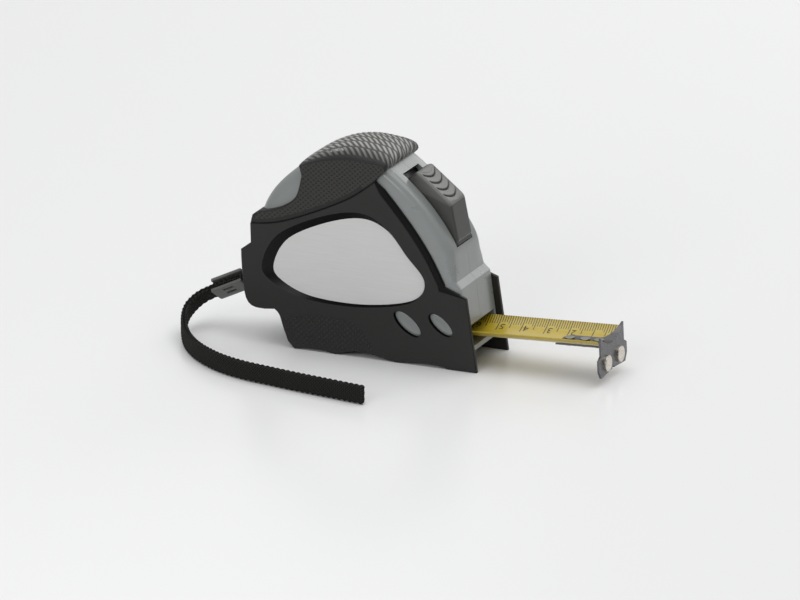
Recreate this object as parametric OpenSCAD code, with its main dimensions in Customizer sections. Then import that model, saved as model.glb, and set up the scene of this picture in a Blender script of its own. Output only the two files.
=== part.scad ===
// Pocket tape measure with a wrist strap, its blade drawn out by about five centimetres.
// Frame: +X along the blade, +Z up, the base plane at z = 0, and the origin under the reel's axis.

/* [Case] */
// Length of the case, from its rear edge to its front feet
case_length = 100; // [85:1:122]
// Height of the case, from its base to the top of the grip
case_height = 85; // [73:1:102]
// Thickness of the case's side walls
side_wall = 1.8; // [1.4:0.1:2.4]
// Thickness of the case's rim walls
rim_wall = 2; // [1.6:0.1:2.4]
// Thickness of the side covers
cover_t = 1.9; // [1.6:0.1:2.6]
// Height of the flat underside at the front of the case, above the base
chin_h = 6.8; // [6:0.1:9]
// Radius of the screw posts inside the case
boss_r = 3; // [2.6:0.1:3.4]

/* [Side covers] */
// Depth of the recess that the label lies in
label_recess = 1.3; // [0.8:0.1:1.4]
// Thickness of the label
label_t = 0.5; // [0.3:0.1:0.7]
// Depth of the inlaid lower grip pads
pad_inlay = 0.8; // [0.5:0.1:1.1]
// Height of the grey pads that fill the oval holes
oval_pad_h = 0.9; // [0.5:0.1:1.3]

/* [Blade] */
// Flat width of the blade
blade_w = 25; // [19:0.5:30]
// Thickness of the blade
blade_t = 0.3; // [0.2:0.05:0.4]
// Radius of the blade's cross curve
blade_arc_r = 17.2; // [16:0.1:24]
// Angle by which the blade points up as it leaves the case
blade_tilt = 2.7; // [0:0.1:3]
// Length of blade from the mouth to the inner face of the hook
blade_out = 53; // [40:1:80]
// Length of straight blade behind the mouth
blade_in = 20; // [14:1:22]
// Side clearance of the blade inside the case
blade_side_gap = 0.4; // [0.3:0.1:0.8]

/* [Hook] */
// Thickness of the hook's plates
hook_t = 0.8; // [0.6:0.1:1]
// Width of the hook's lower tabs
hook_w = 28.4; // [24:0.1:28.6]
// Depth of the hook below the blade
hook_drop = 10; // [8:0.5:10.2]
// Length of the hook's nose along the blade
nose_len = 20; // [16:1:24]
// Width of the hook's nose
nose_w = 6.6; // [5:0.2:6.8]
// Distance that the hook floats on its rivets
hook_float = 1; // [0.8:0.1:1.2]
// Diameter of the magnets
magnet_d = 6.4; // [5:0.1:7]
// Distance between the magnets' centres
magnet_pitch = 12.8; // [10:0.1:15]
// Height that the magnets stand out of the hook
magnet_proud = 1.1; // [0.6:0.1:1.5]

/* [Lock] */
// Width of the slot that the lock button slides in
slot_w = 15; // [12:0.5:17]
// Clearance on each side of the lock button in its slot
button_gap = 0.5; // [0.3:0.1:0.8]
// Travel of the lock button
lock_travel = 2.4; // [1.6:0.1:2.6]
// Width of the lock's tongue
tongue_w = 10; // [8:0.5:12]

/* [Reel] */
// Radius of the fixed centre post
post_r = 3.2; // [2.6:0.1:3.8]
// Running clearance between the reel and the centre post
post_gap = 0.06; // [0.02:0.01:0.1]
// Outer radius of the reel's drum
drum_r = 19; // [16:0.5:21]
// Thickness of the drum's wall and discs
drum_wall = 1.2; // [0.9:0.1:1.6]
// Least clearance around the coil of blade
coil_gap = 0.9; // [0.5:0.1:1.5]

/* [Wrist strap] */
// Width of the webbing
strap_w = 7.5; // [6:0.1:8.5]
// Thickness of the two plies of webbing together
strap_t = 2.6; // [2:0.1:3]
// Radius of the pin that holds the strap
strap_pin_r = 1.2; // [0.8:0.1:1.4]
// Length of the strap's clip
clip_len = 14.4; // [12:0.1:16]
// Thickness of the clip's two plates
clip_wall = 1.5; // [1:0.1:2]

/* [Hidden] */

$fn = 64;
eps = 0.01;
far = 80;

// The outlines are drawn for a case 100 long and 85 high, and these two scales fit them to the case.
sx = case_length / 100;
sz = case_height / 85;
function at(x, z) = [x * sx, z * sz];

// Widths, measured from the middle plane
inner_half = blade_w / 2 + blade_side_gap;
case_half = inner_half + side_wall;
cover_half = case_half + cover_t;

// A smooth run through points p, as a Catmull-Rom curve with n steps between neighbours
function spline_point(a, b, c, d, t) =
    0.5 * (2 * b + (c - a) * t + (2 * a - 5 * b + 4 * c - d) * t * t + (3 * b - a - 3 * c + d) * t * t * t);
function smooth(p, n = 3) = [
    for (i = [0 : len(p) - 2], k = [0 : n - 1])
        spline_point(p[max(i - 1, 0)], p[i], p[i + 1], p[min(i + 2, len(p) - 1)], k / n),
    p[len(p) - 1]];

// The same for a closed run
function smooth_closed(p, n = 3) = let (m = len(p)) [
    for (i = [0 : m - 1], k = [0 : n - 1])
        spline_point(p[(i + m - 1) % m], p[i], p[(i + 1) % m], p[(i + 2) % m], k / n)];

function unit(v) = v / norm(v);
function back(p) = [for (i = [len(p) - 1 : -1 : 0]) p[i]];
function turn(v) = [-v[1], v[0]];

// A counter-clockwise outline moved inwards by d, or outwards where d is negative
function inset(p, d) = let (m = len(p)) [
    for (i = [0 : m - 1])
        let (a = turn(unit(p[i] - p[(i + m - 1) % m])), b = turn(unit(p[(i + 1) % m] - p[i])))
            p[i] + d * (a + b) / (1 + a * b)];

// An outline enlarged by k about a point
function grown(p, k, about) = [for (q = p) about + k * (q - about)];

// A prism across the case, from y0 to y1, over an outline in the X-Z plane
module slab(p, y0, y1) {
    translate([0, y1, 0]) rotate([90, 0, 0]) linear_extrude(y1 - y0) polygon(p);
}

// A round bar across the case
module bar(at_xz, r, y0, y1) {
    translate([at_xz[0], y0, at_xz[1]]) rotate([-90, 0, 0]) cylinder(r = r, h = y1 - y0);
}

// Side -1 is the left half and side 1 the right half, seen from behind
module on_side(side) {
    if (side < 0) children();
    else mirror([0, 1, 0]) children();
}

// ---- Outlines ----

mouth = [51.3 * sx, chin_h];
chin_slope = tan(blade_tilt);

// The body of the case, counter-clockwise from its chin
front_run = smooth([at(45.3, 34.8), at(44.6, 40), at(43, 47), at(39, 54), at(33.2, 61.6), at(26.5, 68.6),
    at(20, 74), at(13.5, 78.4), at(7, 81.4), at(0, 82.8), at(-7, 81.8), at(-14, 78.2), at(-20.5, 74.4),
    at(-26.5, 69.6), at(-32, 64.1), at(-36, 58.2), at(-38.4, 52), at(-39, 46)], 2);
case_outline = concat([mouth, at(49.9, 17), at(47.6, 32.5)], front_run,
    [at(-39, 30), at(-39, 21), at(-37.2, 17.8), at(-31.5, 17.2), at(-29.3, 14.5), at(-27.4, 9.5),
     at(-25.4, 6), [-22.6 * sx, chin_h - 73.9 * sx * chin_slope]]);

// The joint line between the side cover and the rubber grip, from front to rear
grip_line = smooth([at(12, 72.3), at(5.6, 67.2), at(-0.5, 63.2), at(-12.7, 57.2), at(-24.8, 52.2),
    at(-33, 49.9), at(-41, 49)], 2);

// The foot's wavy lower edge, from rear to front
foot_edge = smooth([at(-22.4, 0), at(-18, 0.8), at(-14, 1.3), at(-10, 0.9), at(-5, 0), at(0, 1.3),
    at(6, 2.4), at(13, 1.5), at(20, 0), at(26, 0.5), at(32, 1.2), at(38, 1), at(43, 0)], 2);
cover_front = smooth([at(40.8, 34.4), at(35.3, 44.6), at(28.9, 53.9), at(22.2, 62.1), at(15.8, 69.3)], 2);
cover_outline = concat([at(55, 0), at(50.4, 29.5), at(41.2, 33)], cover_front, grip_line,
    [at(-40.8, 41), at(-45, 37.9), at(-44.7, 31), at(-43.6, 20.5), at(-42, 16.4), at(-38.6, 14.7),
     at(-30.8, 15.1), at(-28.6, 12.8), at(-26.9, 7.6), at(-25, 2.6)], foot_edge);

// The rubber grip over the top
grip_outline = concat([at(16, 77), at(17.6, 79.8), at(16.4, 82.2)],
    smooth([at(11.5, 84.1), at(2.2, 84.9), at(-5.9, 83.6), at(-14, 80.1), at(-20.4, 75.8)], 2),
    smooth([at(-19.3, 70), at(-21.6, 62.1), at(-27.3, 57.5), at(-33.7, 55.2), at(-41, 54.2)], 2),
    back(grip_line));

// The label, rounded at its front and pointed towards the foot
label_outline = smooth_closed([at(-31, 33.6), at(-24.8, 44.5), at(-8.6, 52.9), at(6.7, 56.4), at(17.3, 52.6),
    at(25.4, 43.3), at(32.8, 34), at(27.8, 26), at(7.5, 21.8), at(-15, 22.4), at(-28.1, 27.6)], 4);
label_corner = at(33, 32);

// The textured pad at the heel of the side cover
heel_outline = concat([at(-27, 12)], smooth([at(-16.8, 15), at(-7, 15.1), at(1.1, 14.5), at(6.4, 11.6),
    at(9.6, 7.4), at(11.2, 3.6)], 2), [at(6, 3.4), at(-4, 1.6), at(-20, 2), at(-23.6, 4)]);

// The slanted ovals: centre, half length, half width, slope
ovals = [[at(25.8, 16.3), 6.9, 3.1, -38], [at(39.8, 17.6), 6.1, 2.8, -38]];
function oval(o, more) = [for (a = [0 : 15 : 345])
    o[0] + [(o[1] + more) * cos(a) * cos(o[3]) - (o[2] + more) * sin(a) * sin(o[3]),
            (o[1] + more) * cos(a) * sin(o[3]) + (o[2] + more) * sin(a) * cos(o[3])]];

// ---- Places ----

reel = at(0, 45);
bosses = [at(34, 23), at(-34.4, 29.5), at(-31, 52.5), at(9, 76)];
strap_pin_at = at(-35.2, 21.6);
strap_slot_x = 35.6 * sx;

// The blade's own frame: x along it from the mouth, z up from its lowest line
floor_gap = 1.9;
bumper_top = -1.5;
blade_low = chin_h + rim_wall + floor_gap;
blade_half_angle = blade_w / 2 / blade_arc_r * 180 / PI;
blade_rise = blade_t + blade_arc_r * (1 - cos(blade_half_angle));
mouth_half = inner_half - 0.4;
mouth_top = blade_rise + hook_t + 0.9;
module along_blade() {
    translate([mouth[0], 0, blade_low]) rotate([0, -blade_tilt, 0]) children();
}

// The lock's own frame: x along its slot towards the mouth, z out of the case
slot_top = at(20, 74);
slot_end = at(43, 47);
slot_mid = (slot_top + slot_end) / 2;
slot_len = norm(slot_top - slot_end);
slot_angle = atan2(slot_top[1] - slot_end[1], slot_end[0] - slot_top[0]);
slot_out = unit([slot_top[1] - slot_end[1], slot_end[0] - slot_top[0]]);
slider_top = -rim_wall - 0.9;
slider_t = 1.8;
module along_slot() {
    translate([slot_mid[0], 0, slot_mid[1]]) rotate([0, slot_angle, 0]) children();
}

// The coil takes the room that the slider, the blade below it and the screw posts leave
coil_r = min(concat([(slot_mid - reel) * slot_out + slider_top - slider_t - coil_gap,
    reel[1] - blade_low - blade_rise - coil_gap],
    [for (b = bosses) norm(b - reel) - boss_r - coil_gap / 2]));
drum_half = inner_half - 0.6;

// ---- Case ----

case_inside = inset(case_outline, rim_wall);

// The left half; the right half is its mirror image apart from the screw holes
module case_half() {
    difference() {
        union() {
            difference() {
                slab(case_outline, -case_half, 0);
                slab(case_inside, -inner_half, eps);
            }
            intersection() {
                slab(case_outline, -case_half, 0);
                union() {
                    for (b = bosses) bar(b, boss_r, -case_half, 0);
                    bar(strap_pin_at, 2.4, -case_half, -strap_w / 2 - 1.2);
                }
            }
            for (o = ovals) slab(oval(o, -0.3), -case_half - oval_pad_h, -case_half + eps);
        }
        along_blade() translate([-9, -mouth_half, -floor_gap - 0.1])
            cube([20, 2 * mouth_half, mouth_top + floor_gap + 0.1]);
        along_slot() translate([-slot_len / 2, -slot_w / 2, -rim_wall - 2]) cube([slot_len, slot_w, far]);
        translate([-far, -strap_w / 2 - 0.8, 16.8 * sz]) cube([far - strap_slot_x, strap_w + 1.6, 8.4 * sz]);
        bar(strap_pin_at, strap_pin_r, -inner_half + 1, eps);
        bar(reel, post_r, -inner_half - side_wall / 2, eps);
        for (b = bosses) bar(b, 1.25, -inner_half, eps);
        bumper_solid();
    }
}
module case_left() color("#808482") difference() {
    case_half();
    for (b = bosses) bar(b, 1.25, -case_half - eps, eps);
    for (b = bosses) bar(b, 2.5, -case_half - eps, -case_half + 0.9);
    bar(reel, 1.25, -case_half - eps, 0);
    bar(reel, 2.5, -case_half - eps, -case_half + 0.6);
}
module case_right() color("#808482") on_side(1) case_half();

// The bumper lines the lower lip of the mouth and takes the knock of the returning hook
module bumper_solid() {
    along_blade() translate([-6, -mouth_half + 1, bumper_top - 1.6]) cube([6.4, 2 * mouth_half - 2, 1.6]);
}
module mouth_bumper() color("#a5a6a4") bumper_solid();

// ---- Side covers, grips and labels ----

recess_outline = grown(label_outline, 1.07, label_corner);
channel_x = 12 * sx;

module side_cover(side) on_side(side) difference() {
    union() {
        slab(cover_outline, -cover_half, -case_half);
        intersection() {
            difference() {
                slab(cover_outline, -case_half - eps, 0);
                slab(case_outline, -far, far);
            }
            union() {
                translate([-far, -far, -1]) cube([far + channel_x, far, 20 * sz + 1]);
                translate([-far, -far, -1]) cube([far - 38 * sx, far, 49 * sz + 1]);
            }
        }
        translate([-22.4 * sx, -9, 0]) cube([22.4 * sx + channel_x, 9, 2.6 * sz]);
    }
    slab(recess_outline, -far, -cover_half + label_recess);
    slab(heel_outline, -far, -cover_half + pad_inlay);
    for (o = ovals) slab(oval(o, 0), -far, -case_half + eps);
    translate([-far, -strap_w / 2 - 0.8, 16.8 * sz]) cube([far - strap_slot_x, strap_w + 1.6, 8.4 * sz]);
}
module side_cover_left() color("#2b2b2a") side_cover(-1);
module side_cover_right() color("#2b2b2a") side_cover(1);

// The grip's top is crowned across, lower by crown_drop over the case's edges than in the middle
crown_drop = 1.3 * sz;
crown_r = (case_half * case_half + crown_drop * crown_drop) / (2 * crown_drop);
module top_grip() color("#3a3937") difference() {
    intersection() {
        slab(grip_outline, -cover_half, cover_half);
        translate([-far, 0, 85 * sz - crown_r]) rotate([0, 90, 0]) cylinder(r = crown_r, h = 2 * far, $fn = 192);
    }
    slab(case_outline, -case_half, case_half);
}

module lower_grip(side) on_side(side) slab(heel_outline, -cover_half, -cover_half + pad_inlay);
module lower_grip_left() color("#1f1f1d") lower_grip(-1);
module lower_grip_right() color("#1f1f1d") lower_grip(1);

module label(side) on_side(side)
    slab(label_outline, -cover_half + label_recess - label_t, -cover_half + label_recess);
module label_left() color("#bcbcbc") label(-1);
module label_right() color("#bcbcbc") label(1);

// ---- Screws and centre post ----

// A cross-headed screw along +Y, its head's outer face at y0
module screw(at_xz, y0, long, shank_r, head_r, head_h) {
    difference() {
        bar(at_xz, head_r, y0, y0 + head_h);
        for (a = [0, 90]) translate([at_xz[0], y0, at_xz[1]]) rotate([0, a, 0])
            cube([1.4 * head_r, 0.8, 0.6], center = true);
    }
    bar(at_xz, shank_r, y0 + head_h, y0 + long);
}
module case_screws() color("#8d8f90")
    for (b = bosses) screw(b, -case_half, case_half + inner_half - 1, 1.25, 2.5, 0.9);
module centre_screw() color("#8d8f90") screw(reel, -case_half, 10, 1.25, 2.5, 0.6);
module centre_post() color("#5c5f60") difference() {
    bar(reel, post_r, -inner_half - side_wall / 2, inner_half + side_wall / 2);
    bar(reel, 1.25, -far, -case_half + 10);
    translate([reel[0] - 0.35, -drum_half + 2, reel[1]]) cube([0.7, 2 * drum_half - 4, far]);
}

// ---- Reel ----

spring_half = drum_half - drum_wall - 0.3;
spring_t = 0.25;
spring_turns = 10;
spring_in = post_r + 1.6;
spring_out = drum_r - drum_wall - 0.2;
function spiral(a, shift) = let (r = spring_in + (spring_out - spring_in) * a / (360 * spring_turns) - shift)
    [reel[0] + r * cos(a), reel[1] + r * sin(a)];

module reel_drum() color("#d8d6cf") difference() {
    bar(reel, drum_r, -drum_half, drum_half);
    bar(reel, drum_r - drum_wall, -drum_half + drum_wall, far);
    bar(reel, post_r + post_gap, -far, far);
}
module spring_cover() color("#d8d6cf") difference() {
    bar(reel, drum_r - drum_wall, drum_half - drum_wall, drum_half);
    bar(reel, post_r + post_gap, -far, far);
}
module power_spring() color("#6b6e70") slab(concat(
    [for (a = [0 : 20 : 360 * spring_turns]) spiral(a, 0)],
    back([for (a = [0 : 20 : 360 * spring_turns]) spiral(a, spring_t)])), -spring_half, spring_half);
module blade_coil() color("#c9b53a") difference() {
    bar(reel, coil_r, -blade_w / 2, blade_w / 2);
    bar(reel, drum_r, -far, far);
}

// ---- Blade and hook ----

// A sheet that follows the blade's cross curve, from height z0 above its underside and t thick
module curved_sheet(x0, x1, z0, t) {
    r = blade_arc_r + blade_t - z0;
    translate([x0, 0, blade_arc_r + blade_t]) rotate([0, 90, 0]) difference() {
        cylinder(r = r, h = x1 - x0, $fn = 96);
        translate([0, 0, -1]) cylinder(r = r - t, h = x1 - x0 + 2, $fn = 96);
    }
}
// What lies within the blade's cross angle, less more at each side
module within_cross(x0, x1, less) {
    half = blade_arc_r * sin(blade_half_angle) - less;
    translate([x0, -half, -2]) cube([x1 - x0, 2 * half, blade_arc_r]);
}
rivet_gap = 0.15;
backing_t = 0.6;
rivet_head_t = 0.35;
rivets = [for (k = [0.24, 0.53, 0.85]) blade_out - nose_len * k];
blade_end = blade_out - 0.3;

module blade() color("#c9b53a") along_blade() difference() {
    intersection() {
        curved_sheet(-blade_in, blade_end, 0, blade_t);
        within_cross(-blade_in, blade_end, 0);
    }
    for (x = rivets) translate([x, 0, -1]) cylinder(r = 1, h = 3);
}
// Three rivets; the hook's plates slide on their shanks
module hook_rivets() color("#c8c6c0") along_blade() for (x = rivets) translate([x, 0, 0]) {
    lower = -backing_t - 2 * rivet_gap;
    upper = blade_t + hook_t + 2 * rivet_gap + 0.1;
    translate([0, 0, lower]) cylinder(r = 1, h = upper - lower);
    translate([0, 0, lower - rivet_head_t]) cylinder(r = 1.9, h = rivet_head_t);
    translate([0, 0, upper]) cylinder(r = 1.9, h = rivet_head_t);
}
module rivet_slots() for (x = rivets) {
    for (end = [-hook_float - 0.05, 0.05]) translate([x + end, 0, -4]) cylinder(r = 1.1, h = 8);
    translate([x - hook_float - 0.05, -1.1, -4]) cube([hook_float + 0.1, 2.2, 8]);
}

// The nose seen from above: round at its rear end and flared towards the front plate
flare_len = 5.6;
flare_half = blade_arc_r * sin(blade_half_angle) + 0.2;
nose_round = [for (a = [0 : 15 : 90]) [blade_out - nose_len + nose_w / 2 * (1 - cos(a)), nose_w / 2 * sin(a)]];
nose_flare = [for (k = [0 : 6])
    [blade_out - flare_len * (1 - k / 6), nose_w / 2 + (flare_half - nose_w / 2) * (1 - cos(15 * k))]];
nose_side = concat(nose_round, nose_flare, [[blade_out + hook_t, flare_half]]);
nose_outline = concat([for (p = back(nose_side)) [p[0], -p[1]]], nose_side);

// The front plate seen from the front, with stepped tabs and a notch between them
front_side = [[0.9, -hook_drop + 1.6], [0.9, -hook_drop + 0.8], [hook_w / 2 - 2, -hook_drop],
    [hook_w / 2, -hook_drop + 3.2], [hook_w / 2, -hook_drop + 7.4], [flare_half, -hook_drop + 8.8],
    [flare_half, blade_rise + hook_t + rivet_gap]];
front_outline = concat(front_side, [for (p = back(front_side)) [-p[0], p[1]]]);

module hook_plate() color("#6f6f6f") along_blade() {
    difference() {
        intersection() {
            curved_sheet(blade_out - nose_len, blade_out + hook_t, blade_t + rivet_gap, hook_t);
            translate([0, 0, -1]) linear_extrude(blade_rise + 4) polygon(nose_outline);
        }
        rivet_slots();
    }
    difference() {
        translate([blade_out, 0, 0]) rotate([90, 0, 90]) linear_extrude(hook_t) difference() {
            polygon(front_outline);
            translate([0, blade_arc_r + blade_t]) circle(r = blade_arc_r - rivet_gap - hook_t + 0.1, $fn = 96);
        }
        magnet_bars(blade_out - eps, blade_out + hook_t + eps);
    }
}
magnet_z = -hook_drop + 4.6;
module magnet_bars(x0, x1) for (s = [-1, 1])
    translate([x0, s * magnet_pitch / 2, magnet_z]) rotate([0, 90, 0]) cylinder(r = magnet_d / 2, h = x1 - x0);
module hook_magnets() color("#d9d3c8")
    along_blade() magnet_bars(blade_out, blade_out + hook_t + magnet_proud);

backing_len = 21;
module hook_backing() color("#55565a") along_blade() difference() {
    intersection() {
        curved_sheet(blade_out - backing_len, blade_out, -rivet_gap - backing_t, backing_t);
        translate([blade_out - backing_len, -5, -2]) cube([backing_len, 10, 6]);
    }
    rivet_slots();
}

// ---- Lock ----

button_half = slot_w / 2 - button_gap;
button_top = -slot_len / 2 + lock_travel + 0.3;
button_lip = slot_len / 2 - 0.4;
button_profile = [[button_top, slider_top], [button_top - 0.2, 4], [button_top + 0.5, 5.6], [2.6, 9],
    [button_lip - 1.3, 1.6], [button_lip - 1, 0.6], [button_lip, 0.4], [button_lip, slider_top]];
module lock_button() color("#3d3d3b") along_slot()
    translate([0, button_half, 0]) rotate([90, 0, 0]) linear_extrude(2 * button_half) polygon(button_profile);

brake_x = [-12.6, -8.6];
slider_reach = [-slot_len / 2 + 0.2, slot_len / 2 - 0.3];
module lock_slider() color("#4a4b4a") {
    along_slot() translate([slider_reach[0], -slot_w / 2 - 2, slider_top - slider_t])
        cube([slider_reach[1] - slider_reach[0], slot_w + 4, slider_t]);
    slab(tongue_outline, -tongue_w / 2, tongue_w / 2);
}
slider_end = slot_mid + slider_reach[1] * [cos(slot_angle), -sin(slot_angle)]
    + (slider_top - slider_t / 2) * slot_out;
brake_mid_x = mouth[0] + (brake_x[0] + brake_x[1]) / 2 * cos(blade_tilt);
brake_top = blade_low + 7 - 0.5;
tongue_outline = [[slider_end[0] + 0.4, slider_end[1] + 0.6], [slider_end[0] - 1.6, slider_end[1] + 2.6],
    [brake_mid_x - 0.9, slider_end[1] - 4], [brake_mid_x - 0.9, brake_top], [brake_mid_x + 0.9, brake_top],
    [brake_mid_x + 0.9, slider_end[1] - 4.5]];
module brake_pad() color("#2a2a29") difference() {
    along_blade() intersection() {
        translate([brake_x[0], -8, 0]) cube([brake_x[1] - brake_x[0], 16, 20]);
        translate([brake_x[0] - 1, 0, blade_arc_r + blade_t]) rotate([0, 90, 0])
            cylinder(r = blade_arc_r - 0.3, h = 8, $fn = 96);
    }
    translate([-far, -far, brake_top]) cube([2 * far, 2 * far, far]);
    along_blade() translate([brake_x[0] - 1, -nose_w / 2 - 0.6, -1])
        cube([8, nose_w + 1.2, blade_t + hook_t + 2.2]);
}

// ---- Wrist strap ----

module strap_pin() color("#9a9c9c") bar(strap_pin_at, strap_pin_r, -inner_half + 1, inner_half - 1);

// The strap's route: out of the rear of the case, down to the surface and along it, standing on edge.
// Each point is followed by the roll of the webbing: 0 lies flat, 90 stands on edge.
route = [[-36.3, 0, 21.6, 0], [-44, 0, 21.2, 10], [-50, 0, 20.2, 36], [-56.6, 0, 17.2, 47],
    [-63.2, 0, 13.8, 47], [-67, -2.5, 12, 60], [-69.3, -7, 10, 76], [-69.8, -13.5, 7.7, 86], [-67.3, -21.5, 5.4, 90],
    [-62, -31, 3.9, 90], [-55.5, -39.6, 3.85, 90], [-49, -46, 3.85, 90], [-41, -51.8, 3.85, 90],
    [-33, -56, 3.85, 90], [-24, -59, 3.85, 90], [-13, -61.2, 3.85, 90], [0, -63.6, 3.85, 90],
    [15, -65.8, 3.85, 90], [29, -67.9, 3.85, 90]];
function route_at(i) = route[min(max(i, 0), len(route) - 1)];
fine_route = [for (i = [0 : len(route) - 2], k = [0, 1])
    spline_point(route_at(i - 1), route_at(i), route_at(i + 1), route_at(i + 2), k / 2), route_at(len(route))];
function place(q) = [q[0], q[1], q[2]];
function heading(i) =
    unit(place(fine_route[min(i + 1, len(fine_route) - 1)]) - place(fine_route[max(i - 1, 0)]));
function across(t, roll) = let (h = unit([-t[1], t[0], 0]), u = cross(t, h)) cos(roll) * h + sin(roll) * u;
strap_corners = [[-1, -0.3], [-0.85, -1], [0.85, -1], [1, -0.3], [1, 0.3], [0.85, 1], [-0.85, 1], [-1, 0.3]];
strap_section = [for (s = strap_corners) [s[0] * strap_w / 2, s[1] * strap_t / 2]];
module wrist_strap() color("#1b1b1a") {
    n = len(fine_route);
    last = 8 * n - 8;
    polyhedron(
        points = [for (i = [0 : n - 1])
            let (t = heading(i), w = across(t, fine_route[i][3]), v = cross(t, w))
                for (s = strap_section) place(fine_route[i]) + s[0] * w + s[1] * v],
        faces = concat(
            [for (k = [1 : 6]) [0, k, k + 1]],
            [for (k = [1 : 6]) [last, last + 1 + k, last + k]],
            [for (i = [0 : 8 : last - 8], k = [0 : 7]) [i + k, i + 8 + k, i + 8 + (k + 1) % 8]],
            [for (i = [0 : 8 : last - 8], k = [0 : 7]) [i + k, i + 8 + (k + 1) % 8, i + (k + 1) % 8]]));
}

// A folded clip of two plates with the webbing between them, closed along its lower edge
clip_mid = (2 * place(route[3]) + place(route[2]) + place(route[4])) / 4;
clip_along = unit(place(route[4]) - place(route[2]));
clip_across = across(clip_along, 44);
clip_out = cross(clip_along, clip_across);
clip_gap = strap_t + 0.7;
module strap_clip() color("#343432")
    multmatrix([for (k = [0 : 2]) [clip_along[k], clip_across[k], clip_out[k], clip_mid[k]]]) {
        for (z = [-clip_gap / 2 - clip_wall, clip_gap / 2])
            translate([-clip_len / 2, -strap_w / 2 - 0.4, z]) cube([clip_len, strap_w + 0.8, clip_wall]);
        translate([-clip_len / 2, -strap_w / 2 - 1.6, -clip_gap / 2 - clip_wall])
            cube([clip_len, 1.2 + eps, clip_gap + 2 * clip_wall]);
    }

case_left();
case_right();
side_cover_left();
side_cover_right();
top_grip();
lower_grip_left();
lower_grip_right();
label_left();
label_right();
mouth_bumper();
case_screws();
centre_screw();
centre_post();
reel_drum();
spring_cover();
power_spring();
blade_coil();
blade();
hook_rivets();
hook_plate();
hook_backing();
hook_magnets();
lock_button();
lock_slider();
brake_pad();
strap_pin();
strap_clip();
wrist_strap();
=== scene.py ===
# A pocket tape measure with a wrist strap, standing on its base with five centimetres of blade drawn out.
# The file follows the object as it is put together. Lengths are written in millimetres and turned into
# metres as each mesh is made.

import math

import bmesh
import bpy
import numpy as np
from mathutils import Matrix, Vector
from mathutils.geometry import tessellate_polygon


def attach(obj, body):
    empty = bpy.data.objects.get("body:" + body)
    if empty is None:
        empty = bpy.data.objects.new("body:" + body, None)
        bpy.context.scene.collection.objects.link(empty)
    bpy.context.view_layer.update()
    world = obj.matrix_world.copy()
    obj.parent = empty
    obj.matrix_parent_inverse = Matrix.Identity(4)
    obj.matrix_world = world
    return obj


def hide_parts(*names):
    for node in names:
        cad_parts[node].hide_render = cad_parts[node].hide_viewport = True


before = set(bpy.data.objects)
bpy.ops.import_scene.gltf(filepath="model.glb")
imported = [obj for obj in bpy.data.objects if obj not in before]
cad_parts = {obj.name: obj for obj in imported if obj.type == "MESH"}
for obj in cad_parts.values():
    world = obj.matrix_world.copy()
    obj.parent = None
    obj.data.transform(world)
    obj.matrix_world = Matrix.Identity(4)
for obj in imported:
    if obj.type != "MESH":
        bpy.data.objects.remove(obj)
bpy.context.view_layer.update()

# ---- Camera ----
# A long lens looks down a little from the front left, as on a product table. Its distance and focal length
# belong together: the object keeps its size while the perspective stays nearly flat.
azimuth, elevation, distance = math.radians(23.5), math.radians(18), 3.5
look_at = Vector((0.0244, -0.0203, 0.0271))
away = Vector((
    math.sin(azimuth) * math.cos(elevation), -math.cos(azimuth) * math.cos(elevation), math.sin(elevation),
))
lens = bpy.data.cameras.new("camera")
lens.lens, lens.sensor_width = 407, 36
lens.clip_start, lens.clip_end = 0.05, 20
camera = bpy.data.objects.new("camera", lens)
camera.location = look_at + away * distance
camera.rotation_euler = away.to_track_quat("Z", "Y").to_euler()
bpy.context.scene.collection.objects.link(camera)
bpy.context.scene.camera = camera

# ---- Wrist strap ----
# Black polyester webbing 7.5 mm wide, cut long and folded double, so that two plies lie on each other and
# the fold is its free end. It is woven as a herringbone, and its edges are scalloped by the weft's turns.


def run(points, steps, closed=False):
    """A Catmull-Rom curve through the points, with that many equal steps between neighbours: each span is
    the cubic whose end slopes are half the chord between the points on either side."""
    p = np.asarray(points, float)
    t = (np.arange(steps) / steps)[None, :, None]
    if closed:
        a, b, c, d = (np.roll(p, k, 0)[:, None] for k in (1, 0, -1, -2))
    else:
        q = np.vstack([p[:1], p, p[-1:]])
        a, b, c, d = (q[k : len(p) - 1 + k][:, None] for k in range(4))
    curve = 0.5 * (2 * b + (c - a) * t + (2 * a - 5 * b + 4 * c - d) * t**2 + (3 * b - a - 3 * c + d) * t**3)
    curve = curve.reshape(-1, p.shape[1])
    return curve if closed else np.vstack([curve, p[-1:]])


def quads(rows, cols, around=False):
    """The four-sided faces of a grid of rows by columns, its last column joined to its first if it goes around."""
    r, c = np.arange(rows - 1)[:, None], np.arange(cols if around else cols - 1)[None]
    n = (c + 1) % cols
    return np.stack([r * cols + c, r * cols + n, (r + 1) * cols + n, (r + 1) * cols + c], -1).reshape(-1, 4)


def tube(rings, sides):
    """The faces of a row of rings with that many sides each, closed by one flat face at either end."""
    return [*quads(rings, sides, around=True), list(range(sides)), list(range(sides * (rings - 1), sides * rings))]


def linear(code):
    """An sRGB hex colour as linear light, by the standard's curve."""
    c = np.array([int(code[i : i + 2], 16) for i in (1, 3, 5)]) / 255
    return (*np.where(c <= 0.04045, c / 12.92, ((c + 0.055) / 1.055) ** 2.4).tolist(), 1.0)


def add(tree, kind, links=None, **settings):
    """Adds one node: settings are its properties, and links gives its inputs a value, another node's output, or
    another node, whose first output is meant."""
    new = tree.nodes.new("ShaderNode" + kind)
    for key, value in settings.items():
        setattr(new, key, value)
    for key, value in (links or {}).items():
        value = value.outputs[0] if isinstance(value, bpy.types.Node) else value
        if isinstance(value, bpy.types.NodeSocket):
            tree.links.new(value, new.inputs[key])
        else:
            new.inputs[key].default_value = value
    return new


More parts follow.
